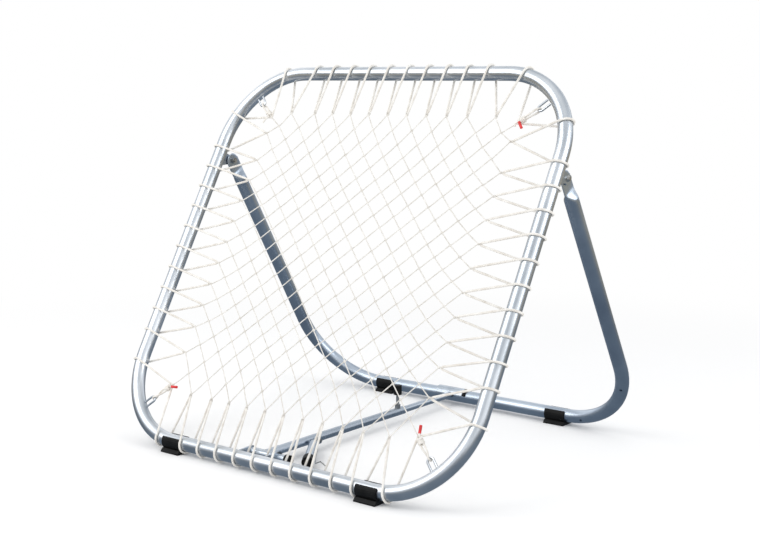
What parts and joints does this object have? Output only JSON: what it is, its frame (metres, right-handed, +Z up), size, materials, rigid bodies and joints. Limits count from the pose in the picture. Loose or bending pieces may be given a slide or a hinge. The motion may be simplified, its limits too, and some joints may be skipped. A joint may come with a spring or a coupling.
{
  "type": "pitch back rebounder",
  "caption": "Square tube frame tilted back on a folding leg, with a knotted net laced inside it by elastic cord and a telescopic floor strut, to return a thrown or kicked ball.",
  "frame": {"origin": "middle of the bounding box, at the undersides of the feet", "axes": "+X to the right seen from the front, +Y from the net's front towards the rear leg, +Z up"},
  "size_m": [1.0126, 0.7962, 0.8656],
  "materials": {
    "zinc_steel": "bright zinc-plated tube",
    "slate_steel": "darker plated tube",
    "black_plastic": "moulded, fine grain",
    "white_cord": "off-white braided cord and netting",
    "red_sleeve": "red shrink sleeve"
  },
  "bodies": {
    "front_frame": {"front_frame_tube": "zinc_steel", "net": "white_cord", "lacing_top": "white_cord", "lacing_right": "white_cord", "lacing_bottom": "white_cord", "lacing_left": "white_cord", "hinge_lug_left": "slate_steel", "hinge_lug_right": "slate_steel", "bracket_cheek_left": "zinc_steel", "bracket_cheek_right": "zinc_steel", "pivot_bolt": "zinc_steel", "pivot_spacer": "zinc_steel", "front_foot_left": "black_plastic", "front_foot_right": "black_plastic", "corner_eye_top_left": "zinc_steel", "corner_tie_top_left": "white_cord", "corner_eye_top_right": "zinc_steel", "corner_tie_top_right": "white_cord", "corner_eye_bottom_left": "zinc_steel", "corner_tie_bottom_left": "white_cord", "corner_eye_bottom_right": "zinc_steel", "corner_tie_bottom_right": "white_cord", "tie_sleeve_top_right": "red_sleeve", "tie_sleeve_bottom_left": "red_sleeve", "tie_sleeve_bottom_right": "red_sleeve"},
    "rear_leg": {"rear_leg_tube": "slate_steel", "hinge_bolt_left": "slate_steel", "hinge_bolt_right": "slate_steel", "hinge_nut_left": "slate_steel", "hinge_nut_right": "slate_steel", "rear_foot_left": "black_plastic", "rear_foot_right": "black_plastic"},
    "strut_outer": {"strut_outer_tube": "zinc_steel", "strut_cross_tube": "zinc_steel", "clamp_boss": "zinc_steel", "lever_lug": "zinc_steel", "lever_pin": "zinc_steel"},
    "strut_inner": {"strut_inner_tube": "zinc_steel", "rear_saddle": "zinc_steel", "saddle_liner": "black_plastic"},
    "clamp_screw": {"clamp_screw": "zinc_steel", "clamp_knob": "black_plastic"},
    "pivot_knob": {"pivot_knob": "black_plastic"},
    "release_lever": {"lever_tube": "zinc_steel", "lever_cap": "black_plastic", "lever_wire": "zinc_steel"}
  },
  "joints": [
    {"name": "leg_fold", "type": "hinge", "parent": "front_frame", "child": "rear_leg", "pos_m": [0, 0.01846, 0.62921], "axis": [-1, 0, 0], "range_deg": [0, 57]},
    {"name": "strut_swing", "type": "hinge", "parent": "front_frame", "child": "strut_outer", "pos_m": [-0.0481, -0.3324, 0.026], "axis": [1, 0, 0], "range_deg": [0, 54]},
    {"name": "strut_slide", "type": "slide", "parent": "strut_outer", "child": "strut_inner", "axis": [0, -1, 0], "range_m": [0, 0.19]},
    {"name": "clamp_turn", "type": "hinge", "parent": "strut_outer", "child": "clamp_screw", "pos_m": [-0.0481, 0.1396, 0.069], "axis": [0, 0, 1], "range_deg": [0, 360]},
    {"name": "pivot_knob_turn", "type": "hinge", "parent": "front_frame", "child": "pivot_knob", "pos_m": [0.02, -0.3324, 0.026], "axis": [1, 0, 0], "range_deg": [0, 180]},
    {"name": "lever_lift", "type": "hinge", "parent": "strut_outer", "child": "release_lever", "pos_m": [-0.033, -0.17, 0.0245], "axis": [-1, 0, 0], "range_deg": [0, 12]}
  ],
  "couplings": [
    {"joint": "strut_swing", "follows": "leg_fold", "ratio": 0.93},
    {"joint": "strut_slide", "follows": "leg_fold", "m_per_rad": 0.185}
  ]
}
